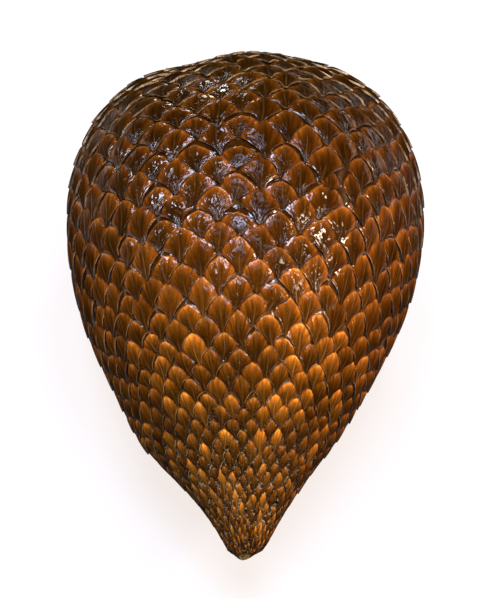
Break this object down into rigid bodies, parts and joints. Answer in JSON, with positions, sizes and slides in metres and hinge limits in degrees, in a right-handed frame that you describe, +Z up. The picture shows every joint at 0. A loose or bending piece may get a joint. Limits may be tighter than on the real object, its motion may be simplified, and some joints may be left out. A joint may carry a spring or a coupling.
{
  "type": "snake fruit",
  "caption": "Whole snake fruit (salak) lying on its side: a fig-shaped fruit with a blunt pointed stalk end, covered in overlapping glossy brown scales.",
  "frame": {"origin": "on the surface that the fruit lies on, under the middle of its box", "axes": "+Z up; +Y from the pointed stalk end to the round flower end, seen from above; +X to the right when looking along +Y"},
  "size_m": [0.048, 0.071, 0.047],
  "materials": {
    "rind": "satin"
  },
  "bodies": {
    "root": {"snake_fruit": "rind"}
  },
  "joints": []
}
